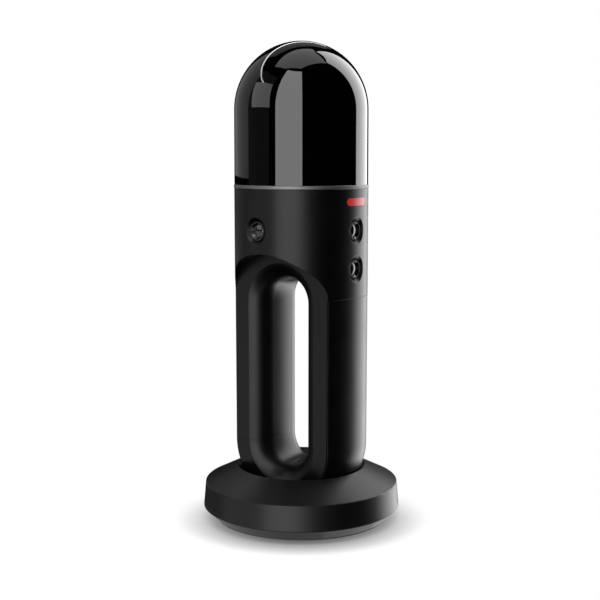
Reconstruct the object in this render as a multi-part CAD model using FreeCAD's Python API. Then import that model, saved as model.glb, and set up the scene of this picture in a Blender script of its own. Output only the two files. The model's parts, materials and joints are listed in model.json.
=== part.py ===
import FreeCAD, Part
import math
import os

# Handheld laser scanner standing in its round charging dock, in millimetres.
# +Z is up, the origin is the middle of the dock's underside, the front is -Y.
# The finger slot runs along X: the grip is its +Y leg, the battery leg its -Y leg.

V = FreeCAD.Vector

# ---- driving dimensions: scanner body
BODY_R = 40.0             # radius of the body and of its ball-shaped foot
BODY_FOOT_Z = 7.5         # lowest point of the scanner in the dock
BALL_Z = BODY_FOOT_Z + BODY_R
FOOT_SEAM_Z = BALL_Z      # the foot cap meets the legs here, with no gap
BODY_TOP_Z = 201.0
FLAT_X = 21.2             # half distance between the two side flats
FLAT_EDGE_Y = math.sqrt(BODY_R ** 2 - FLAT_X ** 2)   # upright edges of the side flats
POCKET_R = 40.4           # arched top of each side flat
POCKET_Z = 123.4
POCKET_CORNER_R = 20.0    # the arch turns into the flat's upright edges
SLOT_TOP_Z = 133.6        # centre of the slot's upper end; the lower end's is the ball's
SLOT_HALF_Y = 13.35       # half width of the slot in its middle
SLOT_CROWN_R = 60.0       # slight bulge of the slot's wall, seen from above
SLOT_CROWN_X = 10.0       # where that bulge ends
SLOT_BEND_R = 14.2        # and bends outward
WALL = 2.5
CUT = 1.0                 # how far cutting shapes reach past the surface that they cut

# ---- battery door on the front leg
DOOR_TOP_Z = 137.5
DOOR_FOOT_Z = 33.0
SEAM = 0.5                # shadow gap beside the door's long edges
DOOR_END_GAP = 0.15       # gap above and below the door
DOOR_WALL = 2.0
DOOR_HALF_X = 20.9
DOOR_BEVEL_X = 19.6
DOOR_BEVEL_R = 34.87
LEG_CAVITY_TOP_Z = 135.3
LEG_CAVITY_FOOT_Z = 38.0
TONGUE_X = 10.0           # tongues on the door's top that the spring clips hold
BATTERY_FOOT_Z = 41.0
BATTERY_TOP_Z = 119.0
BATTERY_HALF_X = 15.0
BATTERY_FRONT_Y = -35.5
BATTERY_BACK_Y = -17.5
BATTERY_CORNER = 5.0
CLIP_PLATE_Y = (-23.0, -21.8)

# ---- buttons
RELEASE_Z = 128.5
RELEASE_R = 4.0
RELEASE_FACE_Y = -(SLOT_HALF_Y + 0.4)
RELEASE_FLANGE_Y = (-18.1, -16.25)
POWER_Z = 152.0
POWER_R = 6.0
POWER_SEAT_Y = 32.6       # floor of the power button's bore
POWER_BACK_Y = 36.4       # inner face of the power button
SWITCH_WIRE_R = 1.2
BUTTON_PLAY = 0.3
SPRING_WIRE_R = 0.3
SPRING_COIL_R = 3.1

# ---- head
HEAD_FLOOR_Z = 166.6
HEAD_R = 34.8
SKIRT_R = 36.5
SKIRT_STEP_Z = 194.8
PLATE_Z = 190.0
PLATE_T = 4.0
PLATE_R = 34.4
LUG_R = 3.2
LUG_H = 9.0
LUG_RING_R = 31.6
LED_RING_R = 40.15
LED_RING_H = 2.2
DOME_FOOT_R = 39.85
DOME_R = 39.7
DOME_TOP_Z = 286.5
DOME_WALL = 2.2
DOME_Z = DOME_TOP_Z - DOME_R

# ---- azimuth drive
SPINDLE_R = 8.0
SPINDLE_BORE_R = 5.05
BEARING_Z = 188.5
BEARING_BALL_R = 1.5
BEARING_PITCH_R = 12.0
BEARING_BALLS = 14
RACE_R = 1.58
BEARING_HALF_H = 2.5
PRESS = 0.03
SHIELD = 0.8              # how far each race stops short of the balls' pitch circle

# ---- turret with the spinning mirror
TURRET_Z = 202.5
TURRET_T = 4.0
TURRET_R = 33.0
MIRROR_Z = DOME_Z
MIRROR_R = 12.0
SHAFT_R = 2.5
CHEEK_R = 14.0
MIRROR_BEARING_R = 6.0
MIRROR_BEARING_X = ((-26.0, -23.5), (-20.5, -18.0))

# ---- cameras: name, angle from the front about Z, height
CAMERAS = (
    ("camera_front_detail", 0.0, 177.0),
    ("camera_front_view", 0.0, 154.6),
    ("camera_right_view", -95.5, 177.0),
    ("camera_left_view", 95.5, 177.0),
)
CAMERA_SINK_R = 8.0
CAMERA_SINK_DEPTH = 2.6
CAMERA_BORE_R = 5.6

# ---- dock
DOCK_SEAM_R = 60.2
DOCK_SEAM_Z = 7.5
DOCK_RIM_R = 58.95
DOCK_RIM_Z = 21.5
DOCK_CONE_R = 58.0
DOCK_CONE_Z = 22.7
COLLAR_R = 38.6
COLLAR_Z = 32.3
BOWL_R = BODY_R + 0.4
BOWL_TOP_Z = 28.0
BOWL_WALL = 2.0
CONTACT_HOLE_R = 8.4
DOCK_FOOT_R = 53.0
DOCK_FOOT_Z = 0.9
DOCK_POST_RING_R = 35.5
DOCK_POST_R = 3.2
SCREW_HOLE_R = 1.25
FOOT_GROOVE_R = (44.9, 52.45)
USB_Z = 12.0
BOARD_Z = 9.0
BOARD_T = 1.2

# ---- charging contacts between the dock and the scanner
CONTACTS = 5
CONTACT_PITCH = 2.5
CONTACT_PAD_Z = 11.2
CONTACT_PAD_TOP_Z = 15.0
CONTACT_TIP_Z = 10.9
PAD_RECESS_R = 11.2
PAD_BLOCK_R = 8.9
CONTACT_R = 0.6


# ---- small building tools
def rod_z(radius, z_low, z_high, x=0.0, y=0.0):
    return Part.makeCylinder(radius, z_high - z_low, V(x, y, z_low))


def rod_x(radius, x_low, x_high, y=0.0, z=0.0):
    return Part.makeCylinder(radius, x_high - x_low, V(x_low, y, z), V(1, 0, 0))


def rod_y(radius, y_low, y_high, x=0.0, z=0.0):
    return Part.makeCylinder(radius, y_high - y_low, V(x, y_low, z), V(0, 1, 0))


def ring_z(inner, outer, z_low, z_high):
    return rod_z(outer, z_low, z_high).cut(rod_z(inner, z_low - 1, z_high + 1))


def ring_x(inner, outer, x_low, x_high, z):
    return rod_x(outer, x_low, x_high, 0, z).cut(rod_x(inner, x_low - 1, x_high + 1, 0, z))


def block(x_low, x_high, y_low, y_high, z_low, z_high):
    return Part.makeBox(x_high - x_low, y_high - y_low, z_high - z_low, V(x_low, y_low, z_low))


def fuse(shapes):
    return shapes[0].multiFuse(list(shapes[1:])).removeSplitter()


def about_z(shape, degrees):
    turned = shape.copy()
    turned.rotate(V(0, 0, 0), V(0, 0, 1), degrees)
    return turned


def ring_of(shape, count, start=0.0):
    return [about_z(shape, start + 360.0 * i / count) for i in range(count)]


def arc_edge(start, middle, end):
    return Part.Arc(V(*start), V(*middle), V(*end)).toShape()


def line_edge(start, end):
    return Part.LineSegment(V(*start), V(*end)).toShape()


def chain(steps):
    """Closed wire in the XZ plane: each step is (r, z), or (via, (r, z)) for an arc."""
    edges = []
    first = last = steps[0]
    for step in list(steps[1:]) + [first]:
        if isinstance(step[0], tuple):
            via, point = step
            edges.append(arc_edge((last[0], 0, last[1]), (via[0], 0, via[1]), (point[0], 0, point[1])))
        else:
            point = step
            edges.append(line_edge((last[0], 0, last[1]), (point[0], 0, point[1])))
        last = point
    return Part.Wire(edges)


def revolved(steps):
    return Part.Face(chain(steps)).revolve(V(0, 0, 0), V(0, 0, 1), 360)


def ball_point(radius, centre_z, angle):
    """Point (r, z) on a ball, with the angle in degrees up from straight down."""
    turn = math.radians(angle)
    return (radius * math.sin(turn), centre_z - radius * math.cos(turn))


def ball_at_height(radius, centre_z, z):
    return math.sqrt(radius ** 2 - (centre_z - z) ** 2)


def ball_arc(radius, centre_z, r_start, r_end):
    """(via, end) step along a ball's lower half between two distances from the axis."""
    angle_start = math.degrees(math.asin(r_start / radius))
    angle_end = math.degrees(math.asin(r_end / radius))
    via = ball_point(radius, centre_z, (angle_start + angle_end) / 2)
    return (via, ball_point(radius, centre_z, angle_end))


def coil_spring(wire_r, coil_r, z_low, z_high, turns):
    """Round-wire compression spring standing on its axis, parallel to Z."""
    height = round(z_high - z_low - 2 * wire_r, 3)
    path = Part.makeHelix(height / turns, height, coil_r)
    profile = Part.Wire(Part.makeCircle(wire_r, V(coil_r, 0, 0), V(0, 1, 0)))
    spring = Part.Wire(path).makePipeShell([profile], True, True)
    spring.translate(V(0, 0, z_low + wire_r))
    return spring


def lay_along_y(shape, x, z):
    """Turn a part built up the Z axis so that its height runs along +Y at (x, z)."""
    laid = shape.copy()
    laid.rotate(V(0, 0, 0), V(1, 0, 0), -90)
    laid.translate(V(x, 0, z))
    return laid


# ---- scanner body
def capsule(radius, top_z):
    foot = BALL_Z - radius
    return revolved([(0, foot), ball_arc(radius, BALL_Z, 0, radius), (radius, top_z), (0, top_z)])


def wall_face(z, half_x, far_y, inset=0.0):
    """Face at height z from the slot wall at y > 0 to a straight line at far_y, half_x to each side.

    The wall bulges slightly and bends outward at both ends; inset moves it into the leg."""
    crown_r, bend_r = SLOT_CROWN_R - inset, SLOT_BEND_R - inset
    crown_y = SLOT_HALF_Y + SLOT_CROWN_R
    join_turn = math.asin(SLOT_CROWN_X / SLOT_CROWN_R)
    bend_x = (SLOT_CROWN_R - SLOT_BEND_R) * math.sin(join_turn)
    bend_y = crown_y - (SLOT_CROWN_R - SLOT_BEND_R) * math.cos(join_turn)
    end_turn = math.asin((half_x - bend_x) / bend_r)

    def on_bend(side, turn):
        return (side * (bend_x + bend_r * math.sin(turn)), bend_y - bend_r * math.cos(turn), z)

    half_turn = (end_turn + join_turn) / 2
    left, right = on_bend(-1, end_turn), on_bend(1, end_turn)
    left_join, right_join = on_bend(-1, join_turn), on_bend(1, join_turn)
    far_left, far_right = (left[0], far_y, z), (right[0], far_y, z)
    return Part.Face(Part.Wire([
        arc_edge(right, on_bend(1, half_turn), right_join),
        arc_edge(right_join, (0, crown_y - crown_r, z), left_join),
        arc_edge(left_join, on_bend(-1, half_turn), left),
        line_edge(left, far_left),
        line_edge(far_left, far_right),
        line_edge(far_right, right),
    ]))


def slot_cutters():
    """The slot as a straight run with a rounded end above and below."""
    half_x = FLAT_X + 0.5
    half = wall_face(BALL_Z, half_x, 0.0)
    run = half.extrude(V(0, 0, SLOT_TOP_Z - BALL_Z))
    other = run.mirror(V(0, 0, 0), V(0, 1, 0))
    foot = half.revolve(V(0, 0, BALL_Z), V(1, 0, 0), -180)
    head = wall_face(SLOT_TOP_Z, half_x, 0.0).revolve(V(0, 0, SLOT_TOP_Z), V(1, 0, 0), 180)
    return [run, other, foot, head]


def pocket_cutters():
    """What is missing outside the two side flats, up to an arched top with round corners."""
    side_y = FLAT_EDGE_Y + 0.03
    corner_y = side_y - POCKET_CORNER_R
    corner_z = POCKET_Z + math.sqrt((POCKET_R - POCKET_CORNER_R) ** 2 - corner_y ** 2)
    lean = math.atan2(corner_z - POCKET_Z, corner_y)

    def on_corner(side, turn):
        y = corner_y + POCKET_CORNER_R * math.cos(turn)
        return (0, side * y, corner_z + POCKET_CORNER_R * math.sin(turn))

    low_z = -5.0
    outline = Part.Wire([
        line_edge((0, -BODY_R, low_z), (0, -BODY_R, corner_z)),
        line_edge((0, -BODY_R, corner_z), on_corner(-1, 0.0)),
        arc_edge(on_corner(-1, 0.0), on_corner(-1, lean / 2), on_corner(-1, lean)),
        arc_edge(on_corner(-1, lean), (0, 0, POCKET_Z + POCKET_R), on_corner(1, lean)),
        arc_edge(on_corner(1, lean), on_corner(1, lean / 2), on_corner(1, 0.0)),
        line_edge(on_corner(1, 0.0), (0, BODY_R, corner_z)),
        line_edge((0, BODY_R, corner_z), (0, BODY_R, low_z)),
        line_edge((0, BODY_R, low_z), (0, -BODY_R, low_z)),
    ])
    right = Part.Face(outline).extrude(V(BODY_R, 0, 0))
    left = right.copy()
    right.translate(V(FLAT_X, 0, 0))
    left.translate(V(-FLAT_X - BODY_R, 0, 0))
    return [left, right]


def rounded_slab(radius, half_x, top_z):
    """Slab along X with a half-round foot about the ball's centre, seen from the side."""
    foot = rod_x(radius, -half_x, half_x, 0, BALL_Z)
    return foot.fuse(block(-half_x, half_x, -radius, radius, BALL_Z, top_z))


def leg_cavity(side, wall, z_low, z_high):
    """Hollow of one leg, side -1 for the battery leg and 1 for the grip."""
    hollow = wall_face(z_low, FLAT_X - wall, BODY_R + CUT, wall).extrude(V(0, 0, z_high - z_low))
    return hollow if side > 0 else hollow.mirror(V(0, 0, 0), V(0, 1, 0))


def camera_cutter(angle, z):
    """Countersink and bore for one camera, pointing inward from the body's surface."""
    sink = Part.makeCone(CAMERA_BORE_R, CAMERA_SINK_R + 0.55, CAMERA_SINK_DEPTH + 0.6,
                         V(0, -(BODY_R - CAMERA_SINK_DEPTH), z), V(0, -1, 0))
    bore = rod_y(CAMERA_BORE_R, -BODY_R, -BODY_R + 8.0, 0, z)
    return about_z(sink.fuse(bore), angle)


def door_opening():
    """Room for the battery door, with a rib left standing behind its long edges."""
    low_z, high_z = DOOR_FOOT_Z - DOOR_END_GAP / 2, DOOR_TOP_Z + DOOR_END_GAP / 2
    span = block(-BODY_R, BODY_R, -BODY_R - CUT, 0, low_z, high_z)
    return span.cut(rounded_slab(FLAT_EDGE_Y - SEAM, BODY_R + CUT, BODY_TOP_Z))


def head_lug():
    """Boss on the head's wall that takes one of the plate's screws."""
    foot_z = PLATE_Z - LUG_H
    lug = rod_z(LUG_R, foot_z, PLATE_Z, LUG_RING_R, 0)
    return lug.fuse(block(LUG_RING_R, HEAD_R + CUT, -LUG_R, LUG_R, foot_z, PLATE_Z))


def foot_holes():
    """Recess and seat of the charging contacts, and the ducts for their wires up both legs."""
    duct_r, duct_z, duct_y = 3.0, 26.0, 24.0
    ducts = [rod_z(duct_r, CONTACT_PAD_TOP_Z, duct_z), rod_y(duct_r, -duct_y - 2, duct_y + 2, 0, duct_z)]
    risers = [rod_z(duct_r, duct_z, BALL_Z, 0, y) for y in (-duct_y, duct_y)]
    recess = rod_z(PAD_RECESS_R, 0, CONTACT_PAD_Z + 0.3)
    seat = rod_z(PAD_BLOCK_R + 0.05, 0, CONTACT_PAD_TOP_Z + 0.1)
    return [recess, seat] + ducts + risers


def whole_housing():
    """The housing and its foot cap as one solid, before they are parted at FOOT_SEAM_Z."""
    body = capsule(BODY_R, BODY_TOP_Z)
    grip_top_z, riser_foot_z = 149.0, 148.0
    front_bay_z = 146.5
    cutters = slot_cutters() + pocket_cutters() + [
        door_opening(),
        leg_cavity(-1, WALL, LEG_CAVITY_FOOT_Z, LEG_CAVITY_TOP_Z),
        leg_cavity(1, WALL, BALL_Z - 1.5, grip_top_z).common(rod_z(BODY_R - WALL, 0, BODY_TOP_Z)),
        block(-14, 14, 18, 31, riser_foot_z, HEAD_FLOOR_Z + CUT),
        block(-7.5, 7.5, -34.6, -24.5, front_bay_z, HEAD_FLOOR_Z + CUT),
        rod_z(HEAD_R, HEAD_FLOOR_Z, BODY_TOP_Z + CUT),
        rod_z(SKIRT_R, SKIRT_STEP_Z, BODY_TOP_Z + CUT),
    ]
    for cutter in cutters:
        body = body.cut(cutter)
    body = fuse([body] + ring_of(head_lug(), 4, 45))
    holes = ring_of(rod_z(SCREW_HOLE_R, PLATE_Z - LUG_H + 1, PLATE_Z + CUT, LUG_RING_R, 0), 4, 45)
    holes += [camera_cutter(angle, z) for _, angle, z in CAMERAS]
    holes.append(rod_y(POWER_R + BUTTON_PLAY, POWER_SEAT_Y, BODY_R + CUT, 0, POWER_Z))
    holes.append(rod_y(SWITCH_WIRE_R, POWER_SEAT_Y - 5, POWER_SEAT_Y + CUT, 0, POWER_Z))
    wall_back_y = -SLOT_HALF_Y - WALL
    holes.append(rod_y(RELEASE_R + BUTTON_PLAY, wall_back_y - CUT, -SLOT_HALF_Y + CUT, 0, RELEASE_Z))
    for hole in holes + foot_holes():
        body = body.cut(hole)
    return body


def below_foot_seam():
    return block(-BODY_R - 1, BODY_R + 1, -BODY_R - 1, BODY_R + 1, 0, FOOT_SEAM_Z)


def main_housing():
    return whole_housing().cut(below_foot_seam())


def foot_cap():
    """Ball-shaped end cap that joins the two legs and holds the charging contacts."""
    return whole_housing().common(below_foot_seam())


def front_badge():
    """Plain red pill let flush into the front, in place of any mark."""
    half_x, half_z, z = 9.0, 2.2, 193.7
    pill = fuse([block(-half_x + half_z, half_x - half_z, -45, -30, z - half_z, z + half_z),
                 rod_y(half_z, -45, -30, -half_x + half_z, z),
                 rod_y(half_z, -45, -30, half_x - half_z, z)])
    return pill.common(ring_z(BODY_R + 0.02, BODY_R + 0.14, z - 5, z + 5))


# ---- battery leg
def battery_door():
    shell = capsule(BODY_R, BODY_TOP_Z)
    low_z, high_z = DOOR_FOOT_Z + DOOR_END_GAP / 2, DOOR_TOP_Z - DOOR_END_GAP / 2
    span = block(-DOOR_HALF_X, DOOR_HALF_X, -BODY_R - CUT, 0, low_z, high_z)
    door = shell.common(span).cut(rounded_slab(FLAT_EDGE_Y, BODY_R + 1, BODY_TOP_Z))
    hollow = capsule(BODY_R - DOOR_WALL, BODY_TOP_Z)
    door = door.cut(hollow.common(block(-17, 17, -BODY_R, 0, DOOR_FOOT_Z + 4, LEG_CAVITY_TOP_Z - 2)))
    for side in (-1, 1):
        door = door.cut(door_bevel(side))
    tongue = block(-0.75, 0.75, -38.4, -31.0, 125.0, 132.0)
    tongues = [tongue.translated(V(x, 0, 0)) for x in (-TONGUE_X, TONGUE_X)]
    return fuse([door] + tongues)


def door_bevel(side):
    """Wedge that bevels one long edge of the door, down and round the ball-shaped foot."""
    points = [(DOOR_HALF_X + 0.01, FLAT_EDGE_Y - 0.01), (DOOR_BEVEL_X, DOOR_BEVEL_R),
              (DOOR_BEVEL_X, DOOR_BEVEL_R + 3), (DOOR_HALF_X + 3, FLAT_EDGE_Y + 3),
              (DOOR_HALF_X + 3, FLAT_EDGE_Y - 0.01)]
    corners = [V(side * x, -r, BALL_Z) for x, r in points]
    face = Part.Face(Part.makePolygon(corners + corners[:1]))
    run = face.extrude(V(0, 0, DOOR_TOP_Z - BALL_Z + 1))
    foot = face.revolve(V(0, 0, BALL_Z), V(1, 0, 0), 60)
    return run.fuse(foot)


def battery_pack():
    half_x = BATTERY_HALF_X
    pack = block(-half_x, half_x, BATTERY_FRONT_Y, BATTERY_BACK_Y, BATTERY_FOOT_Z, BATTERY_TOP_Z)
    corners = [e for e in pack.Edges if abs(e.tangentAt(e.FirstParameter).z) > 0.9]
    pack = pack.makeFillet(BATTERY_CORNER, corners)
    groove = block(-4, 4, BATTERY_FRONT_Y - 1, BATTERY_FRONT_Y + 1.2, 104, 112)
    return pack.cut(groove)


def battery_terminals():
    base = block(-10, 10, -31, -20, LEG_CAVITY_FOOT_Z + 0.1, LEG_CAVITY_FOOT_Z + 1.6)
    blade = block(-1.2, 1.2, -29, -22, LEG_CAVITY_FOOT_Z + 1.6, BATTERY_FOOT_Z - 0.4)
    return fuse([base] + [blade.translated(V(x, 0, 0)) for x in (-6, 0, 6)])


def door_clips():
    """Spring-steel plate across the top of the battery leg, with an arm beside each door tongue."""
    front_y, back_y = CLIP_PLATE_Y
    plate = block(-17.5, 17.5, front_y, back_y, 122.5, LEG_CAVITY_TOP_Z - 0.2)
    plate = plate.common(leg_cavity(-1, WALL + 0.2, 120, 140))
    plate = plate.cut(rod_y(2.3, front_y - CUT, back_y + CUT, 0, RELEASE_Z))
    arms = []
    for side in (-1, 1):
        low, high = sorted((side * (TONGUE_X - 2.0), side * (TONGUE_X - 1.3)))
        arms.append(block(low, high, -35.2, front_y + 0.2, 125.5, 131.5))
    return fuse([plate] + arms)


def door_release_button():
    """Push button in the slot-side wall of the battery leg, with a stem towards the door."""
    flange_low, flange_high = RELEASE_FLANGE_Y
    cap = rod_y(RELEASE_R, flange_high - 0.1, RELEASE_FACE_Y, 0, RELEASE_Z)
    flange = rod_y(RELEASE_R + 1.1, flange_low, flange_high, 0, RELEASE_Z)
    stem = rod_y(1.8, -34.0, flange_low + 0.1, 0, RELEASE_Z)
    return fuse([cap, flange, stem])


def door_release_spring():
    spring = coil_spring(SPRING_WIRE_R, SPRING_COIL_R, CLIP_PLATE_Y[1] + 0.1, RELEASE_FLANGE_Y[0] - 0.1, 2)
    return lay_along_y(spring, 0, RELEASE_Z)


# ---- power button in the back, above the grip
def power_button():
    face_y = BODY_R - 0.6
    dish_r = 22.0
    cap = rod_y(POWER_R, POWER_BACK_Y, BODY_R + CUT, 0, POWER_Z).common(rod_z(BODY_R - 0.25, 140, 165))
    dish = Part.makeSphere(dish_r, V(0, face_y + dish_r, POWER_Z))
    stem = rod_y(1.6, POWER_BACK_Y - 1.4, POWER_BACK_Y + 0.1, 0, POWER_Z)
    return fuse([cap.cut(dish), stem])


def power_button_spring():
    spring = coil_spring(SPRING_WIRE_R, SPRING_COIL_R, POWER_SEAT_Y + 0.1, POWER_BACK_Y - 0.2, 2)
    return lay_along_y(spring, 0, POWER_Z)


def power_switch():
    half = 1.85
    foot_y = POWER_SEAT_Y + 0.05
    body = block(-half, half, foot_y, foot_y + 0.7, POWER_Z - half, POWER_Z + half)
    return body.fuse(rod_y(1.2, foot_y + 0.65, foot_y + 1.15, 0, POWER_Z))


def main_board():
    board = block(-12.5, 12.5, 24.0, 25.4, 52, 163)
    chips = [block(-6, 6, 22.2, 24.0, z, z + 12) for z in (66, 92, 118)]
    coils = [block(x - 3, x + 3, 25.4, 28.4, 140, 146) for x in (-7, 7)]
    return fuse([board] + chips + coils)


def imu_module():
    base = block(-26, -12, -9, 5, HEAD_FLOOR_Z, HEAD_FLOOR_Z + 1.2)
    return base.fuse(block(-24, -14, -7, 3, HEAD_FLOOR_Z + 1.2, HEAD_FLOOR_Z + 5))


def contact_positions():
    return [CONTACT_PITCH * (i - (CONTACTS - 1) / 2) for i in range(CONTACTS)]


def charge_contact_block():
    disc = rod_z(PAD_BLOCK_R, CONTACT_PAD_Z + 0.3, CONTACT_PAD_TOP_Z)
    for x in contact_positions():
        disc = disc.cut(rod_z(1.05, 5, 20, x, 0))
    return disc


def charge_contact_pads():
    pad = rod_z(1.0, CONTACT_PAD_Z, CONTACT_PAD_TOP_Z)
    return Part.makeCompound([pad.translated(V(x, 0, 0)) for x in contact_positions()])


# ---- cameras
def camera_bezel(angle, z):
    """Turned ring with a bevelled mouth around the lens."""
    front = BODY_R - 1.5
    ring = rod_y(5.4, -front, -(BODY_R - 5.0), 0, z)
    mouth = Part.makeCone(3.6, 4.9, 1.4, V(0, -(front - 1.35), z), V(0, -1, 0))
    ring = ring.cut(mouth).cut(rod_y(3.6, -front - 1, -(BODY_R - 6.0), 0, z))
    return about_z(ring, angle)


def camera_lens(angle, z):
    front = BODY_R - 2.1
    glass = rod_y(3.5, -front, -(BODY_R - 4.4), 0, z)
    crown = Part.makeSphere(9.0, V(0, -front + 9.0, z))
    return about_z(glass.common(crown), angle)


def camera_module(angle, z):
    """Barrel with the sensor on a small board behind it."""
    barrel = rod_y(5.3, -(BODY_R - 5.05), -(BODY_R - 9.0), 0, z)
    board = block(-6, 6, -(BODY_R - 9.0), -(BODY_R - 10.2), z - 6, z + 6)
    return about_z(barrel.fuse(board), angle)


def camera_modules():
    return Part.makeCompound([camera_module(angle, z) for _, angle, z in CAMERAS])


# ---- head: ring, dome and plate
def led_ring():
    low, high = BODY_TOP_Z + 0.05, BODY_TOP_Z + LED_RING_H - 0.05
    edge = 0.25
    return revolved([(SKIRT_R, low), (LED_RING_R - edge, low), (LED_RING_R, low + edge),
                     (LED_RING_R, high - edge), (LED_RING_R - edge, high), (SKIRT_R, high)])


def dome():
    foot = BODY_TOP_Z + LED_RING_H
    inner = DOME_R - DOME_WALL
    slope = math.sqrt(0.5)
    return revolved([
        (HEAD_R + 0.2, SKIRT_STEP_Z + 1.5), (SKIRT_R - 0.2, SKIRT_STEP_Z + 1.5), (SKIRT_R - 0.2, foot),
        (DOME_FOOT_R, foot), (DOME_R, DOME_Z),
        ((DOME_R * slope, DOME_Z + DOME_R * slope), (0, DOME_TOP_Z)),
        (0, DOME_TOP_Z - DOME_WALL),
        ((inner * slope, DOME_Z + inner * slope), (inner, DOME_Z)),
        (inner, foot + 4), (HEAD_R + 0.2, foot + 1)])


def dome_seal():
    return ring_z(HEAD_R + 0.3, SKIRT_R - 0.1, SKIRT_STEP_Z + 0.05, SKIRT_STEP_Z + 1.45)


def head_plate():
    """Plate with a hub below it that holds the azimuth bearing."""
    top = PLATE_Z + PLATE_T
    hub_foot = BEARING_Z - 4.0
    plate = rod_z(PLATE_R, PLATE_Z, top).fuse(rod_z(18.0, hub_foot, PLATE_Z + 1))
    plate = plate.cut(rod_z(15.55, hub_foot + 1.4, top + 1)).cut(rod_z(13.6, hub_foot - 1, top + 1))
    for hole in ring_of(rod_z(1.3, PLATE_Z - 1, top + 1, LUG_RING_R, 0), 4, 45):
        plate = plate.cut(hole)
    for window in ring_of(rod_z(4.0, PLATE_Z - 1, top + 1, 26.0, 0), 4):
        plate = plate.cut(window)
    return plate


def head_screws():
    top = PLATE_Z + PLATE_T
    head = rod_z(2.2, top + 0.05, top + 2.0, LUG_RING_R, 0).cut(rod_z(1.0, top + 0.9, top + 3, LUG_RING_R, 0))
    screw = head.fuse(rod_z(1.2, PLATE_Z - 7, top + 0.1, LUG_RING_R, 0))
    return Part.makeCompound(ring_of(screw, 4, 45))


# ---- azimuth drive
def bearing_ring(inner, outer):
    ring = ring_z(inner, outer, BEARING_Z - BEARING_HALF_H, BEARING_Z + BEARING_HALF_H)
    return ring.cut(Part.makeTorus(BEARING_PITCH_R, RACE_R, V(0, 0, BEARING_Z)))


def azimuth_bearing_outer():
    return bearing_ring(BEARING_PITCH_R + SHIELD, 15.5)


def azimuth_bearing_inner():
    return bearing_ring(SPINDLE_R + PRESS, BEARING_PITCH_R - SHIELD)


def azimuth_bearing_balls():
    ball = Part.makeSphere(BEARING_BALL_R, V(BEARING_PITCH_R, 0, BEARING_Z))
    return Part.makeCompound(ring_of(ball, BEARING_BALLS))


def azimuth_motor_stator():
    core = ring_z(18.05, 24.0, 179.5, 188.5)
    gap = block(20.0, 25.0, -0.9, 0.9, 179, 189)
    for cut in ring_of(gap, 12):
        core = core.cut(cut)
    return core


def azimuth_motor_rotor():
    web = ring_z(SPINDLE_R + PRESS, 27.0, 176.5, 178.5)
    return web.fuse(ring_z(24.5, 27.0, 178.5, 188.5))


def encoder_disc():
    disc = ring_z(SPINDLE_R + PRESS, 17.0, 174.2, 175.0)
    for cut in ring_of(block(13.5, 15.5, -0.6, 0.6, 173, 176), 24):
        disc = disc.cut(cut)
    return disc


def encoder_reader():
    return block(-4, 4, 11.5, 17.5, HEAD_FLOOR_Z, 173.8)


def slip_ring_stator():
    post = rod_z(3.4, 169, 199).fuse(rod_z(7.0, HEAD_FLOOR_Z, 169.5))
    for i in range(6):
        post = post.cut(ring_z(3.1, 4.0, 178 + 3 * i, 179.5 + 3 * i))
    return post


def slip_ring_rotor():
    return ring_z(3.8, SPINDLE_BORE_R - PRESS, 173.0, 199.0)


def turret_spindle():
    return ring_z(SPINDLE_BORE_R, SPINDLE_R, 172.0, TURRET_Z)


# ---- turret with the spinning mirror
def cheek(x_low, x_high):
    plate = block(x_low, x_high, -CHEEK_R, CHEEK_R, TURRET_Z + 1, MIRROR_Z)
    return plate.fuse(rod_x(CHEEK_R, x_low, x_high, 0, MIRROR_Z))


def turret_frame():
    floor = ring_z(SPINDLE_BORE_R, TURRET_R, TURRET_Z, TURRET_Z + TURRET_T)
    frame = fuse([floor, cheek(-26, -18), cheek(18, 24)])
    frame = frame.cut(rod_x(SHAFT_R + 0.6, -30, -10, 0, MIRROR_Z))
    seat_r = MIRROR_BEARING_R + 0.02
    frame = frame.cut(rod_x(seat_r, -30, -23.5, 0, MIRROR_Z)).cut(rod_x(seat_r, -20.5, -10, 0, MIRROR_Z))
    return frame.cut(rod_x(8.0, 10, 30, 0, MIRROR_Z))


def mirror_bearings():
    rings = [ring_x(SHAFT_R + 0.04, MIRROR_BEARING_R, low, high, MIRROR_Z) for low, high in MIRROR_BEARING_X]
    return Part.makeCompound(rings)


def mirror_motor_stator():
    return ring_x(SHAFT_R + 0.7, 8.0, -31.0, -26.05, MIRROR_Z)


def mirror_motor_rotor():
    disc = ring_x(SHAFT_R, 9.9, -33.6, -31.6, MIRROR_Z)
    return disc.fuse(ring_x(8.6, 9.9, -31.7, -26.6, MIRROR_Z))


def mirror_shaft():
    return rod_x(SHAFT_R, -33.6, -12.0, 0, MIRROR_Z)


def scan_mirror():
    """Cylinder with one end cut at 45 degrees, the cut end being the mirror."""
    drum = rod_x(MIRROR_R, -MIRROR_R, MIRROR_R, 0, MIRROR_Z)
    knife = block(0, 60, -30, 30, -60, 60)
    knife.rotate(V(0, 0, 0), V(0, 1, 0), -45)
    knife.translate(V(0, 0, MIRROR_Z))
    return drum.cut(knife)


def receiver_lens():
    body = rod_x(10.0, 13.4, 17.9, 0, MIRROR_Z)
    return body.common(Part.makeSphere(24.0, V(13.4 + 24.0, 0, MIRROR_Z)))


def laser_module():
    plate = block(24.1, 25.6, -11, 11, MIRROR_Z - 11, MIRROR_Z + 10)
    return plate.fuse(rod_x(4.0, 25.5, 34.0, 0, MIRROR_Z))


# ---- dock
def dock_post(hole_r=None):
    radius = hole_r or DOCK_POST_R
    high = 14.0 if hole_r else 27.0
    return rod_z(radius, DOCK_FOOT_Z + 2.0, high, DOCK_POST_RING_R, 0)


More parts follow.
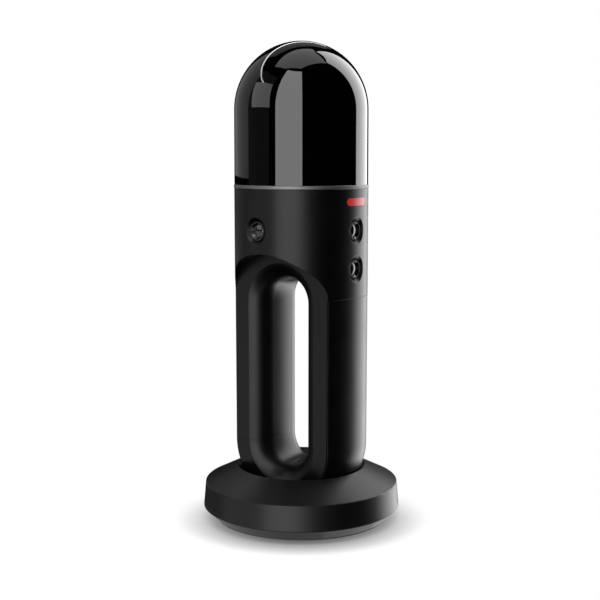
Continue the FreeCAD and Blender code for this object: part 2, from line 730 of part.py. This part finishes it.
def dock_top_shell():
    outer_bowl = BOWL_R + BOWL_WALL
    join_z = 26.0
    join_r = ball_at_height(outer_bowl, BALL_Z, join_z)
    seat_r = ball_at_height(BOWL_R, BALL_Z, BOWL_TOP_Z)
    hole_top = BALL_Z - math.sqrt(BOWL_R ** 2 - CONTACT_HOLE_R ** 2)
    hole_low = BALL_Z - math.sqrt(outer_bowl ** 2 - CONTACT_HOLE_R ** 2)
    shell = revolved([
        (DOCK_SEAM_R - 2.6, DOCK_SEAM_Z), (DOCK_SEAM_R, DOCK_SEAM_Z), (DOCK_RIM_R, DOCK_RIM_Z),
        ((DOCK_RIM_R - 0.23, DOCK_RIM_Z + 0.75), (DOCK_CONE_R, DOCK_CONE_Z)),
        (COLLAR_R + 0.4, COLLAR_Z - 0.2), (COLLAR_R, COLLAR_Z - 0.4),
        (seat_r, BOWL_TOP_Z), ball_arc(BOWL_R, BALL_Z, seat_r, CONTACT_HOLE_R),
        (CONTACT_HOLE_R, hole_low), ball_arc(outer_bowl, BALL_Z, CONTACT_HOLE_R, join_r),
        (COLLAR_R + 0.9, COLLAR_Z - 3.4), (DOCK_CONE_R - 1.6, DOCK_CONE_Z - 2.1),
        (DOCK_SEAM_R - 2.7, DOCK_CONE_Z - 2.7)])
    bowl = Part.makeSphere(outer_bowl - 0.5, V(0, 0, BALL_Z))
    posts = [post.cut(bowl) for post in ring_of(dock_post(), 4, 45)]
    shell = fuse([shell] + posts)
    for hole in ring_of(dock_post(SCREW_HOLE_R), 4, 45):
        shell = shell.cut(hole)
    return shell.cut(usb_window(0.4, 50, 70))


def usb_window(extra, y_low, y_high):
    """Rounded slot of a USB-C port, made wider by extra on every side."""
    half_z = 1.65 + extra
    half_x = 4.5 + extra
    reach = half_x - half_z
    middle = block(-reach, reach, y_low, y_high, USB_Z - half_z, USB_Z + half_z)
    ends = [rod_y(half_z, y_low, y_high, x, USB_Z) for x in (-reach, reach)]
    return fuse([middle] + ends)


def dock_usb_port():
    return usb_window(0.0, 50.5, 59.0).cut(usb_window(-0.35, 52.0, 60.0)).fuse(
        block(-3.0, 3.0, 51.9, 57.5, USB_Z - 0.35, USB_Z + 0.35))


def dock_circuit_board():
    top = BOARD_Z + BOARD_T
    return block(-16, 16, 27, 52.4, BOARD_Z, top).fuse(block(-5, 5, 33, 41, top, top + 1.6))


def dock_base_plate():
    seam = DOCK_SEAM_Z - 0.4
    slope = (DOCK_SEAM_R - 0.4 - DOCK_FOOT_R) / (DOCK_SEAM_Z - DOCK_FOOT_Z)
    plate = revolved([
        (0, DOCK_FOOT_Z), (DOCK_FOOT_R, DOCK_FOOT_Z), (DOCK_FOOT_R + slope * (seam - DOCK_FOOT_Z), seam),
        (57.3, seam), (57.3, 10.0), (55.7, 10.0), (55.7, 5.6), (52.4, 2.7), (0, 2.7)])
    plate = plate.cut(ring_z(*FOOT_GROOVE_R, 0, 1.7))
    for hole in ring_of(countersunk(0.12), 4, 45):
        plate = plate.cut(hole)
    posts = [rod_z(2.5, 2.5, BOARD_Z, x, y) for x in (-13, 13) for y in (31, 50)]
    return fuse([plate] + posts)


def countersunk(extra):
    """Screw head and neck, or with extra, the hole that clears them."""
    foot_z = DOCK_FOOT_Z + 0.05
    cone = Part.makeCone(2.5 + extra, 1.2 + extra, 1.3, V(DOCK_POST_RING_R, 0, foot_z))
    neck = rod_z(1.2 + extra, foot_z + 1.25, 4.0, DOCK_POST_RING_R, 0)
    if not extra:
        return cone.fuse(neck)
    return fuse([cone, neck, rod_z(2.5 + extra, 0, foot_z, DOCK_POST_RING_R, 0)])


def dock_screws():
    screw = countersunk(0.0).fuse(rod_z(1.2, 3.0, 12.0, DOCK_POST_RING_R, 0))
    drive = rod_z(0.9, 0, DOCK_FOOT_Z + 0.7, DOCK_POST_RING_R, 0)
    return Part.makeCompound(ring_of(screw.cut(drive), 4, 45))


def dock_foot_ring():
    return ring_z(FOOT_GROOVE_R[0] + 0.1, FOOT_GROOVE_R[1] - 0.1, 0, 1.65)


def dock_ballast_ring():
    ring = ring_z(40.0, 52.4, 3.0, 14.0)
    return ring.cut(block(-18, 18, 20, 60, 0, 20))


def dock_contact_block():
    top = CONTACT_TIP_Z - 0.9
    block_shape = rod_z(8.0, 2.75, top)
    for x in contact_positions():
        block_shape = block_shape.cut(rod_z(1.0, 4.2, top - 1.0, x, 0)).cut(rod_z(0.7, 5, top + 1, x, 0))
    return block_shape


def dock_contact_pins():
    pins = []
    tip_z = CONTACT_TIP_Z - CONTACT_R
    for x in contact_positions():
        tip = Part.makeSphere(CONTACT_R, V(x, 0, tip_z))
        pins.append(fuse([rod_z(CONTACT_R, 7.6, tip_z, x, 0), tip, rod_z(CONTACT_R + 0.25, 7.4, 8.2, x, 0)]))
    return Part.makeCompound(pins)


def dock_pin_springs():
    springs = []
    for x in contact_positions():
        spring = coil_spring(0.15, 0.65, 4.3, 7.3, 4)
        spring.translate(V(x, 0, 0))
        springs.append(spring)
    return Part.makeCompound(springs)


PARTS = (
    dock_top_shell, dock_base_plate, dock_foot_ring, dock_ballast_ring, dock_circuit_board, dock_usb_port,
    dock_contact_block, dock_contact_pins, dock_pin_springs, dock_screws,
    main_housing, foot_cap, front_badge, battery_door, battery_pack, battery_terminals, door_clips,
    door_release_button, door_release_spring, power_button, power_button_spring, power_switch,
    main_board, imu_module, charge_contact_block, charge_contact_pads,
    led_ring, dome, dome_seal, head_plate, head_screws,
    azimuth_bearing_outer, azimuth_bearing_inner, azimuth_bearing_balls, azimuth_motor_stator,
    azimuth_motor_rotor, encoder_disc, encoder_reader, slip_ring_stator, slip_ring_rotor, turret_spindle,
    turret_frame, mirror_bearings, mirror_motor_stator, mirror_motor_rotor, mirror_shaft, scan_mirror,
    receiver_lens, laser_module, camera_modules,
)


def main():
    os.makedirs("parts", exist_ok=True)
    shapes = {make.__name__: make() for make in PARTS}
    for name, angle, z in CAMERAS:
        shapes[name + "_bezel"] = camera_bezel(angle, z)
        shapes[name + "_lens"] = camera_lens(angle, z)
    for name, shape in shapes.items():
        print(name, shape.isValid(), len(shape.Solids), round(shape.Volume, 1))
        shape.exportStep("parts/" + name + ".step")
    print(len(shapes), "nodes")


main()
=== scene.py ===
import bpy
import json
import math
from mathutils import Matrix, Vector


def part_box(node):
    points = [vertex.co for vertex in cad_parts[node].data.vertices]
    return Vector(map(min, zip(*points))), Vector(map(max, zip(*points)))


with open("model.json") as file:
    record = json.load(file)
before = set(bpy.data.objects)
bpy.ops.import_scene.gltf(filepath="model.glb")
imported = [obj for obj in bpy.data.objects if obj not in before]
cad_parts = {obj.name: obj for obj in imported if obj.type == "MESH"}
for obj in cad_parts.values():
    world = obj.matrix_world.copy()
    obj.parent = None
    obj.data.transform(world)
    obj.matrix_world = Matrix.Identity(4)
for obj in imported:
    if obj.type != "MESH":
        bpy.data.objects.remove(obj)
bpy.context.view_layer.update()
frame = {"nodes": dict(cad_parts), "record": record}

# Handheld laser scanner in its charging dock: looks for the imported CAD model. Metres, +Z up, front -Y.
# Azimuths are degrees about +Z with 0 towards -Y and 90 towards +X; elevations are degrees up.

MM = 0.001
SLOT_OF = {part["node"]: part["material_slot"] for part in frame["record"]["subparts"]}
CAMERAS = [name.removesuffix("_lens") for name in frame["nodes"]
           if name.startswith("camera_") and name.endswith("_lens")]


def middle(node):
    low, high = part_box(node)
    return (Vector(low) + Vector(high)) / 2


def direction(azimuth, elevation):
    turn, tip = math.radians(azimuth), math.radians(elevation)
    return Vector((math.sin(turn) * math.cos(tip), -math.cos(turn) * math.cos(tip), math.sin(tip)))


def link(obj):
    bpy.context.scene.collection.objects.link(obj)
    return obj


# ---- camera: standing to the front left of the scanner, a little above its middle
CAMERA_PLACE = Vector((-0.5646, -0.4102, 0.2218))
CAMERA_LOOK = (126.0, -8.575)     # azimuth and elevation that it looks towards
CAMERA_LENS = 69.67               # millimetres, over a sensor this wide
CAMERA_SENSOR = 36.0
CAMERA_SHIFT = (-0.0022, 0.0461)


def add_camera():
    data = bpy.data.cameras.new("camera")
    data.lens = CAMERA_LENS
    data.sensor_width = CAMERA_SENSOR
    data.shift_x, data.shift_y = CAMERA_SHIFT
    camera = link(bpy.data.objects.new("camera", data))
    camera.location = CAMERA_PLACE
    camera.rotation_mode = "QUATERNION"
    camera.rotation_quaternion = direction(*CAMERA_LOOK).to_track_quat("-Z", "Y")
    bpy.context.scene.camera = camera


# ---- studio: large soft panels around the scanner, standing on a ring around its dome
PANEL_DISTANCE = 3.0
PANEL_STEP = 6.0                  # degrees of azimuth for each flat facet of a curved panel
AIM = Vector((0.0, 0.0, 0.23))    # a point inside the dome, which the panels are placed about
GLOW_RADII = (0.050, 0.070)       # inner and outer edge of the arcs on the table
GLOW_HEIGHT = 0.0002
GLOW_STEPS = 24


def emitter(name, points, faces, brightness):
    """Glowing sheet that the camera doesn't see."""
    mesh = bpy.data.meshes.new(name)
    mesh.from_pydata([tuple(point) for point in points], [], faces)
    material = bpy.data.materials.new(name)
    material.use_nodes = True
    nodes = material.node_tree.nodes
    nodes.remove(nodes["Principled BSDF"])
    glow = nodes.new("ShaderNodeEmission")
    glow.inputs["Strength"].default_value = brightness
    material.node_tree.links.new(glow.outputs[0], nodes["Material Output"].inputs["Surface"])
    mesh.materials.append(material)
    sheet = link(bpy.data.objects.new(name, mesh))
    sheet.visible_camera = False
    sheet.visible_shadow = False


def wall_point(azimuth, elevation):
    """Point of the upright cylinder that the curved panels lie on."""
    flat = direction(azimuth, 0.0) * PANEL_DISTANCE
    return AIM + flat + Vector((0.0, 0.0, PANEL_DISTANCE * math.tan(math.radians(elevation))))


def curved_panel(name, azimuths, elevations, brightness):
    """Upright panel curved about the scanner, between two azimuths and two elevations."""
    start, end = azimuths
    steps = math.ceil((end - start) / PANEL_STEP)
    turns = [start + (end - start) * i / steps for i in range(steps + 1)]
    points = [wall_point(turn, elevation) for turn in turns for elevation in elevations]
    faces = [(2 * i, 2 * i + 2, 2 * i + 3, 2 * i + 1) for i in range(steps)]
    emitter(name, points, faces, brightness)


def flat_panel(name, corners, brightness):
    """Many-sided panel, each corner given as the azimuth and elevation that it is seen at."""
    points = [AIM + direction(*corner) * PANEL_DISTANCE for corner in corners]
    emitter(name, points, [tuple(range(len(points)))], brightness)


def light_strip(name, route, width, brightness):
    """Narrow tube of light along a route of azimuths and elevations, width in degrees."""
    points, faces = [], []
    for azimuth, elevation in route:
        for side in (-0.5, 0.5):
            points.append(AIM + direction(azimuth, elevation + side * width) * PANEL_DISTANCE)
    for i in range(len(route) - 1):
        faces.append((2 * i, 2 * i + 2, 2 * i + 3, 2 * i + 1))
    emitter(name, points, faces, brightness)


def table_glow(name, azimuths, brightness):
    """Glowing arc on the table under the dock's edge: the light that a white table throws back up."""
    start, end = azimuths
    turns = [start + (end - start) * i / GLOW_STEPS for i in range(GLOW_STEPS + 1)]
    lift = Vector((0, 0, GLOW_HEIGHT))
    points = [direction(turn, 0) * radius + lift for turn in turns for radius in GLOW_RADII]
    faces = [(2 * i, 2 * i + 1, 2 * i + 3, 2 * i + 2) for i in range(GLOW_STEPS)]
    emitter(name, points, faces, brightness)


OVERHEAD = ((-144, 58), (-110, 64), (-55, 69), (47, 61), (92, 65), (109, 58), (135, 64), (172, 67))
WINDOW = ((-153.6, 31), (-112, 36), (-108.7, 5), (-146.3, 4.8))
TUBE = ((-119, 28.5), (-123, 30.5), (-145, 37.5), (-168, 43), (166, 44), (141, 37), (128, 29), (118, 22))
BACK_HIGH = ((166, 46), (141, 39), (128, 31), (114, 24), (108, 40), (122, 52), (150, 58), (170, 56))


def add_studio():
    curved_panel("light_front_left", (-98.0, -52.5), (-24.0, 63.5), 4.15)
    curved_panel("light_front_low", (-52.5, -38.0), (-60.0, -3.0), 0.9)
    curved_panel("light_back_right", (52.5, 99.0), (-60.0, 60.5), 4.2)
    curved_panel("light_back_left", (150.0, 205.0), (-1.4, 44.0), 0.4)
    curved_panel("light_low_back", (150.0, 205.0), (-16.0, -4.0), 0.3)
    curved_panel("light_low_left", (-155.0, -106.0), (-30.0, -4.0), 1.05)
    curved_panel("light_left", (-154.0, -110.0), (-4.0, 48.0), 0.09)
    flat_panel("light_top", OVERHEAD, 1.3)
    flat_panel("light_back_high", BACK_HIGH, 0.25)
    flat_panel("light_window", WINDOW, 1.6)
    light_strip("light_tube", TUBE, 1.8, 7.5)
    table_glow("light_table_left", (-160, -40), 0.6)
    table_glow("light_table_middle", (-40, 0), 0.85)
    table_glow("light_table_right", (0, 100), 1.2)


WORLD_GLOW = 0.004                # what the object sees between the panels


def add_world():
    """White to the camera, nearly black to the object."""
    world = bpy.data.worlds.new("studio")
    bpy.context.scene.world = world
    world.use_nodes = True
    nodes, links = world.node_tree.nodes, world.node_tree.links
    seen_by = nodes.new("ShaderNodeLightPath")
    mix = nodes.new("ShaderNodeMixShader")
    dim = nodes["Background"]
    dim.inputs["Color"].default_value = (1, 1, 1, 1)
    dim.inputs["Strength"].default_value = WORLD_GLOW
    white = nodes.new("ShaderNodeBackground")
    white.inputs["Color"].default_value = (1, 1, 1, 1)
    white.inputs["Strength"].default_value = 1.0
    links.new(seen_by.outputs["Is Camera Ray"], mix.inputs[0])
    links.new(dim.outputs[0], mix.inputs[1])
    links.new(white.outputs[0], mix.inputs[2])
    links.new(mix.outputs[0], nodes["World Output"].inputs["Surface"])


FLOOR_REACH = 3.5
CONTACT_SHADOW = 0.021            # how far from the dock its contact shadow fades out
SHADOW_LEAN = (126.0, 45.0)       # the shadow's light comes from above and behind
SHADOW_SAMPLES = 16


def add_floor():
    """White floor that only shows the soft contact shadow of what stands on it."""
    reach = FLOOR_REACH
    mesh = bpy.data.meshes.new("floor")
    mesh.from_pydata([(-reach, -reach, 0), (reach, -reach, 0), (reach, reach, 0), (-reach, reach, 0)],
                     [], [(0, 1, 2, 3)])
    floor = link(bpy.data.objects.new("floor", mesh))
    material = bpy.data.materials.new("floor")
    material.use_nodes = True
    nodes, links = material.node_tree.nodes, material.node_tree.links
    nodes.remove(nodes["Principled BSDF"])
    shade = nodes.new("ShaderNodeAmbientOcclusion")
    shade.samples = SHADOW_SAMPLES
    shade.inputs["Distance"].default_value = CONTACT_SHADOW
    lean = nodes.new("ShaderNodeCombineXYZ")
    for socket, value in zip(lean.inputs, direction(*SHADOW_LEAN)):
        socket.default_value = value
    links.new(lean.outputs[0], shade.inputs["Normal"])
    glow = nodes.new("ShaderNodeEmission")
    links.new(shade.outputs["Color"], glow.inputs["Color"])
    links.new(glow.outputs[0], nodes["Material Output"].inputs["Surface"])
    mesh.materials.append(material)
    for sight in ("visible_diffuse", "visible_glossy", "visible_transmission", "visible_shadow"):
        setattr(floor, sight, False)


add_camera()
add_studio()
add_world()
add_floor()
bpy.context.scene.view_settings.view_transform = "Standard"


# ---- material toolkit: everything is laid out in the object's own metres
EDGE_SAMPLES = 6
WAVE_SCALE = math.pi / 10         # scale at which a wave texture repeats once per unit


class Finish:
    """A principled material with noise, grooves and bumps given in millimetres."""

    def __init__(self, name, roughness, metallic=0.0, ior=1.5):
        self.material = bpy.data.materials.new(name)
        self.material.use_nodes = True
        self.tree = self.material.node_tree
        self.shader = self.tree.nodes["Principled BSDF"]
        self.put("Roughness", roughness)
        self.put("Metallic", metallic)
        self.put("IOR", ior)

    def put(self, socket, value):
        """Set one of the shader's own sockets, or link an output to it."""
        if isinstance(value, bpy.types.NodeSocket):
            self.tree.links.new(value, self.shader.inputs[socket])
        else:
            self.shader.inputs[socket].default_value = value

    def node(self, kind, **inputs):
        node = self.tree.nodes.new("ShaderNode" + kind)
        for name, value in inputs.items():
            socket = node.inputs[name.replace("_", " ")]
            if isinstance(value, bpy.types.NodeSocket):
                self.tree.links.new(value, socket)
            else:
                socket.default_value = value
        return node

    def place(self, centre=(0, 0, 0), turn=0.0, stretch=(1, 1, 1)):
        """Object coordinates from a centre, turned about Z in degrees and stretched."""
        spot = self.node("TexCoord").outputs["Object"]
        rotation = (0, 0, math.radians(turn))
        mapping = self.node("Mapping", Vector=spot, Location=centre, Rotation=rotation, Scale=stretch)
        mapping.vector_type = "TEXTURE"
        return mapping.outputs[0]

    def noise(self, size, detail=2.0, where=None):
        where = where or self.place()
        return self.node("TexNoise", Vector=where, Scale=1 / (size * MM), Detail=detail).outputs[0]

    def cells(self, size, where=None):
        where = where or self.place()
        return self.node("TexVoronoi", Vector=where, Scale=1 / (size * MM)).outputs["Distance"]

    def grooves(self, pitch, where, rings=None, wobble=0.0):
        """Parallel bands along X, or rings about the named axis, of this pitch."""
        wave = self.node("TexWave", Vector=where, Scale=WAVE_SCALE / (pitch * MM), Distortion=wobble)
        if rings:
            wave.wave_type = "RINGS"
            wave.rings_direction = rings
        return wave.outputs["Fac"]

    def span(self, value, low, high, start=0.3, end=0.7):
        """Map start..end of a texture to low..high."""
        ramp = self.node("MapRange", Value=value)
        for name, number in (("From Min", start), ("From Max", end), ("To Min", low), ("To Max", high)):
            ramp.inputs[name].default_value = number
        return ramp.outputs[0]

    def tint(self, factor, first, second):
        mix = self.tree.nodes.new("ShaderNodeMix")
        mix.data_type = "RGBA"
        self.tree.links.new(factor, mix.inputs["Factor"])
        for socket, colour in zip([s for s in mix.inputs if s.type == "RGBA"], (first, second)):
            if isinstance(colour, bpy.types.NodeSocket):
                self.tree.links.new(colour, socket)
            else:
                socket.default_value = (*colour, 1)
        return [s for s in mix.outputs if s.type == "RGBA"][0]

    def bump(self, height, depth, under=None):
        """Relief of this depth in millimetres, on top of another normal if one is given."""
        node = self.node("Bump", Height=height, Distance=depth * MM, Strength=1.0)
        if under is not None:
            self.tree.links.new(under, node.inputs["Normal"])
        return node.outputs[0]

    def soft_edges(self, radius):
        node = self.node("Bevel", Radius=radius * MM)
        node.samples = EDGE_SAMPLES
        return node.outputs[0]


def grey(value):
    return (value, value, value)


def body_black():
    """Satin black coat: fine spray grain, faint cloudiness, crisp but not sharp edges."""
    finish = Finish("body_black", 0.34, ior=1.3)
    cloud = finish.noise(18.0, 3.0)
    grain = finish.noise(0.22, 2.0)
    finish.put("Base Color", finish.tint(finish.span(cloud, 0, 1), grey(0.0003), grey(0.0009)))
    finish.put("Roughness", finish.span(cloud, 0.325, 0.36))
    finish.put("Normal", finish.bump(grain, 0.0016, finish.soft_edges(0.35)))
    return finish.material


def dock_black():
    """Spark-textured black moulding, a little rougher than the scanner's coat."""
    finish = Finish("dock_black", 0.37, ior=1.32)
    cloud = finish.noise(24.0, 3.0)
    pits = finish.cells(0.35)
    finish.put("Base Color", finish.tint(finish.span(cloud, 0, 1), grey(0.0010), grey(0.0026)))
    finish.put("Roughness", finish.span(cloud, 0.35, 0.39))
    finish.put("Normal", finish.bump(pits, 0.0020, finish.soft_edges(0.35)))
    return finish.material


def dome_black():
    """Dark, glossy, infrared-clear plastic with the faintest wipe marks."""
    finish = Finish("dome_black", 0.02, ior=1.5)
    wipe = finish.noise(30.0, 4.0, finish.place(stretch=(1, 1, 0.35)))
    finish.put("Base Color", finish.tint(wipe, grey(0.0001), grey(0.0003)))
    finish.put("Roughness", finish.span(wipe, 0.012, 0.03))
    finish.put("Normal", finish.bump(finish.noise(45.0, 1.0), 0.002))
    return finish.material


def light_ring():
    """Satin grey light guide over a circle of small lamps, all of them off."""
    finish = Finish("light_ring", 0.5, metallic=0.9)
    frost = finish.noise(0.4, 2.0)
    finish.put("Base Color", finish.tint(finish.span(frost, 0, 1), grey(0.115), grey(0.145)))
    finish.put("Roughness", finish.span(frost, 0.47, 0.53))
    finish.put("Normal", finish.bump(frost, 0.002))
    return finish.material


def red_mark():
    """Red enamel with a little orange peel."""
    finish = Finish("red_mark", 0.3, ior=1.45)
    peel = finish.noise(0.3, 1.0)
    finish.put("Base Color", finish.tint(finish.span(peel, 0, 1), (0.52, 0.012, 0.012), (0.58, 0.016, 0.015)))
    finish.put("Roughness", finish.span(peel, 0.28, 0.34))
    finish.put("Normal", finish.bump(peel, 0.0006))
    return finish.material


def rubber_black():
    """Dull rubber with a powdery bloom."""
    finish = Finish("rubber_black", 0.8)
    bloom = finish.noise(3.0, 5.0)
    finish.put("Base Color", finish.tint(finish.span(bloom, 0, 1), grey(0.012), grey(0.022)))
    finish.put("Roughness", finish.span(bloom, 0.72, 0.88))
    finish.put("Normal", finish.bump(finish.noise(0.3), 0.02))
    return finish.material


def moulded_plastic(name, dark, light, roughness):
    """Plain technical moulding with spark texture and faint flow marks."""
    finish = Finish(name, roughness)
    flow = finish.noise(9.0, 4.0, finish.place(stretch=(1, 1, 3)))
    finish.put("Base Color", finish.tint(finish.span(flow, 0, 1), dark, light))
    finish.put("Roughness", finish.span(flow, roughness - 0.05, roughness + 0.05))
    finish.put("Normal", finish.bump(finish.cells(0.3), 0.006, finish.soft_edges(0.2)))
    return finish.material


def brushed_metal(name, dark, light, roughness, stretch):
    """Metal with fine lines along one axis, dulled in patches where it was handled."""
    finish = Finish(name, roughness, metallic=1.0)
    lines = finish.noise(0.12, 3.0, finish.place(stretch=stretch))
    patch = finish.noise(6.0, 3.0)
    finish.put("Base Color", finish.tint(finish.span(patch, 0, 1), dark, light))
    finish.put("Roughness", finish.span(lines, roughness - 0.08, roughness + 0.1))
    finish.put("Normal", finish.bump(lines, 0.003, finish.soft_edges(0.12)))
    return finish.material


def turned_metal(name, dark, light, roughness, pitch):
    """Metal turned on a lathe about the Z axis: fine rings and a slight patina."""
    finish = Finish(name, roughness, metallic=1.0)
    rings = finish.grooves(pitch, finish.place(), rings="Z")
    patch = finish.noise(5.0, 3.0)
    finish.put("Base Color", finish.tint(finish.span(patch, 0, 1), dark, light))
    finish.put("Roughness", finish.span(patch, roughness - 0.06, roughness + 0.08))
    finish.put("Normal", finish.bump(rings, 0.004, finish.soft_edges(0.12)))
    return finish.material


def cast_iron():
    """Sand-cast iron: lumpy grain with darker pits."""
    finish = Finish("ballast_iron", 0.65, metallic=0.9)
    grain = finish.noise(1.1, 5.0)
    finish.put("Base Color", finish.tint(finish.span(grain, 0, 1), grey(0.12), grey(0.26)))
    finish.put("Roughness", finish.span(grain, 0.55, 0.8))
    finish.put("Normal", finish.bump(grain, 0.12))
    return finish.material


def board_green():
    """Circuit board: copper tracks under green solder mask."""
    finish = Finish("board_green", 0.35, ior=1.5)
    tracks = finish.node("TexBrick", Vector=finish.place(), Scale=1 / (4.0 * MM))
    tracks.inputs["Mortar Size"].default_value = 0.05
    mask = tracks.outputs["Fac"]
    finish.put("Base Color", finish.tint(mask, (0.006, 0.075, 0.035), (0.03, 0.17, 0.07)))
    finish.put("Roughness", finish.span(finish.noise(2.0, 3.0), 0.28, 0.42))
    finish.put("Normal", finish.bump(mask, 0.03))
    return finish.material


def copper_windings():
    """Enamelled wire laid in neat turns; the base colour darkens in the grooves between turns as painted
    shade.
    """
    finish = Finish("motor_copper", 0.3, metallic=1.0)
    turns = finish.grooves(0.35, finish.place(turn=90), wobble=0.4)
    # painted shade: the base colour follows the grooves, dark between the turns and bright on their crowns
    finish.put("Base Color", finish.tint(turns, (0.30, 0.11, 0.035), (0.72, 0.30, 0.12)))
    finish.put("Roughness", finish.span(finish.noise(1.5, 2.0), 0.24, 0.42))
    finish.put("Normal", finish.bump(turns, 0.08))
    return finish.material


def mirror_silver():
    """First-surface mirror on a satin drum."""
    finish = Finish("mirror_silver", 0.03, metallic=1.0)
    dust = finish.noise(0.6, 4.0)
    finish.put("Base Color", finish.tint(finish.span(dust, 0, 1), grey(0.9), grey(0.96)))
    finish.put("Roughness", finish.span(dust, 0.02, 0.07))
    return finish.material


def lens_glass():
    """Clear coated receiver lens."""
    finish = Finish("lens_glass", 0.02, ior=1.6)
    bloom = finish.noise(8.0, 2.0)
    finish.put("Base Color", finish.tint(bloom, (0.70, 0.82, 0.88), (0.78, 0.88, 0.92)))
    finish.put("Transmission Weight", 0.9)
    finish.put("Roughness", finish.span(bloom, 0.01, 0.03))
    return finish.material


PUPIL_R = 1.1                     # millimetres, as the radii and sizes of all finishes are
IRIS_R = 2.6


def camera_frame(camera):
    """Middle of a camera's lens and the angle that turns the front camera onto it."""
    centre = middle(camera + "_lens")
    return centre, math.degrees(math.atan2(centre.x, -centre.y))


def radius_from(finish, where):
    """Distance from the axis that runs along Y through the centre of these coordinates, in millimetres."""
    parts = finish.node("SeparateXYZ", Vector=where)
    flat = finish.node("CombineXYZ", X=parts.outputs["X"], Z=parts.outputs["Z"])
    length = finish.node("VectorMath")
    length.operation = "LENGTH"
    finish.tree.links.new(flat.outputs[0], length.inputs[0])
    scaled = finish.node("Math")
    scaled.operation = "MULTIPLY"
    finish.tree.links.new(length.outputs["Value"], scaled.inputs[0])
    scaled.inputs[1].default_value = 1 / MM
    return scaled.outputs[0]


def camera_glass(camera):
    """Coated front element: black pupil, dark iris and a paler barrel ring behind it, painted into its
    colour; the pupil's black is painted shade of the lens's dark inside.
    """
    centre, turn = camera_frame(camera)
    finish = Finish(camera + "_glass", 0.02, ior=1.55)
    radius = radius_from(finish, finish.place(centre, turn))
    # painted shade: the black pupil stands in for the dark inside of the lens; the iris and barrel ring are
    # painted inner parts
    iris = finish.tint(finish.span(radius, 0, 1, PUPIL_R, PUPIL_R + 0.15), grey(0.0003), grey(0.004))
    barrel = finish.tint(finish.span(radius, 0, 1, IRIS_R, IRIS_R + 0.12), iris, grey(0.03))
    finish.put("Base Color", barrel)
    finish.put("Roughness", finish.span(finish.noise(2.0, 2.0), 0.015, 0.035))
    return finish.material


MOUTH_R = 4.85                    # edge of the polished mouth


def bezel_black(camera):
    """Black ring, matt around a turned and polished mouth."""
    centre, turn = camera_frame(camera)
    finish = Finish(camera + "_bezel", 0.4, ior=1.5)
    where = finish.place(centre, turn)
    rings = finish.grooves(0.3, where, rings="Y")
    radius = radius_from(finish, where)
    finish.put("Base Color", finish.tint(rings, grey(0.0006), grey(0.0016)))
    finish.put("Roughness", finish.span(radius, 0.16, 0.7, MOUTH_R - 0.1, MOUTH_R + 0.05))
    finish.put("Normal", finish.bump(rings, 0.003))
    return finish.material


def button_black():
    """Satin rubber-coated button."""
    finish = Finish("button_black", 0.5, ior=1.4)
    grain = finish.noise(0.25, 2.0)
    finish.put("Base Color", finish.tint(finish.span(grain, 0, 1), grey(0.004), grey(0.008)))
    finish.put("Roughness", finish.span(finish.noise(4.0, 3.0), 0.45, 0.56))
    finish.put("Normal", finish.bump(grain, 0.004, finish.soft_edges(0.25)))
    return finish.material


ALONG_X = (12, 1, 1)              # stretch that draws brush lines out along X
FINISHES = {
    "dock_black": dock_black(),
    "body_black": body_black(),
    "rubber_black": rubber_black(),
    "ballast_iron": cast_iron(),
    "board_green": board_green(),
    "steel": brushed_metal("steel", grey(0.42), grey(0.58), 0.3, ALONG_X),
    "inner_plastic": moulded_plastic("inner_plastic", grey(0.02), grey(0.035), 0.5),
    "gold": brushed_metal("gold", (0.62, 0.40, 0.12), (0.86, 0.60, 0.22), 0.22, ALONG_X),
    "red_mark": red_mark(),
    "battery_plastic": moulded_plastic("battery_plastic", grey(0.025), grey(0.04), 0.45),
    "button_black": button_black(),
    "light_ring": light_ring(),
    "dome_black": dome_black(),
    "machined_aluminium": turned_metal("machined_aluminium", grey(0.62), grey(0.76), 0.3, 0.25),
    "motor_copper": copper_windings(),
    "mirror_silver": mirror_silver(),
    "lens_glass": lens_glass(),
}


def dress():
    """Give every CAD node the finish of its material slot; each camera has its own glass and bezel."""
    for camera in CAMERAS:
        for part, make in (("_lens", camera_glass), ("_bezel", bezel_black)):
            finish = make(camera)
            for slot in frame["nodes"][camera + part].material_slots:
                slot.material = finish
    for name, node in frame["nodes"].items():
        finish = FINISHES.get(SLOT_OF[name])
        for slot in node.material_slots:
            if finish:
                slot.material = finish


dress()
